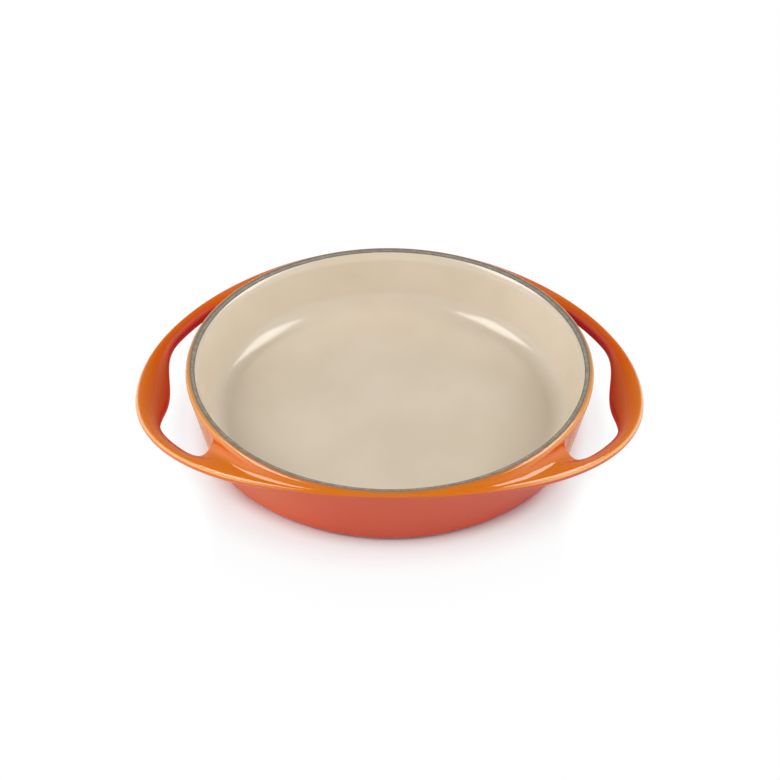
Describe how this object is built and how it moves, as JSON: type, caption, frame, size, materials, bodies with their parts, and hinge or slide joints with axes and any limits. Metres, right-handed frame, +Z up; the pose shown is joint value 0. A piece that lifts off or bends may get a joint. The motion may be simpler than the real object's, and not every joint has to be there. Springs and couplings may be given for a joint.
{
  "type": "tarte tatin pan",
  "caption": "Shallow round enamelled cast-iron baking pan with a sloping wall, a bare ground-coat rim and drooping loop handles cast into an oval flange.",
  "frame": {"origin": "on the table under the centre of the bowl", "axes": "+X along the handles, +Y towards the back of the pan, +Z up"},
  "size_m": [0.329, 0.2614, 0.045],
  "materials": {
    "bare_iron": "ground bare iron, seen only on the foot ring",
    "cream_enamel": "gloss vitreous enamel, warm cream",
    "ground_coat": "matt speckled grey ground coat",
    "orange_enamel": "gloss vitreous enamel shading from orange to deep red",
    "red_enamel": "gloss vitreous enamel, red"
  },
  "bodies": {
    "root": {"iron_casting": "bare_iron", "cream_lining": "cream_enamel", "rim_band": "ground_coat", "orange_coat": "orange_enamel", "base_coat": "red_enamel"}
  },
  "joints": []
}
